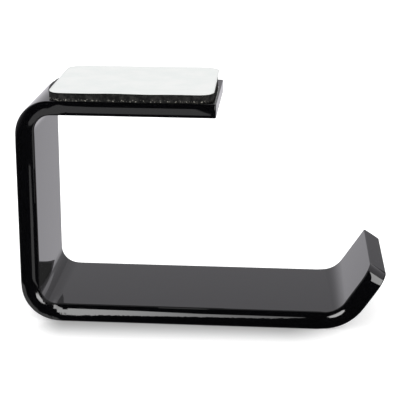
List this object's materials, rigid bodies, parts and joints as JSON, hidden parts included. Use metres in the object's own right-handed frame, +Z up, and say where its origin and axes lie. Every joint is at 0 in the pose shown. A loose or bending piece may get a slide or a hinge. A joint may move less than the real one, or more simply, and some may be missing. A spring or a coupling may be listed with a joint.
{
  "type": "headphone hook",
  "caption": "Bent strip hook that sticks under a desk by a foam pad: top arm, back plate, long lower arm for a headband and a raised lip, with a peel-off liner on the pad.",
  "frame": {"origin": "on the desk side of the release liner, above the middle of the foam pad", "axes": "+Z up, out of the pad towards the desk; +X from the back plate towards the open side and the lip; +Y across the strip, towards the liner's peeling tab"},
  "size_m": [0.0944, 0.036, 0.0611],
  "materials": {
    "acrylic": "polished",
    "adhesive": "tacky film",
    "foam": "cut closed-cell foam",
    "liner": "smooth coated paper"
  },
  "bodies": {
    "hook": {"hook_bracket": "acrylic", "lower_adhesive": "adhesive", "foam_core": "foam", "upper_adhesive": "adhesive"},
    "liner": {"release_liner": "liner"}
  },
  "joints": [
    {"name": "liner_peel", "type": "slide", "parent": "hook", "child": "liner", "axis": [0, 0, 1], "range_m": [0, 0.03]}
  ]
}
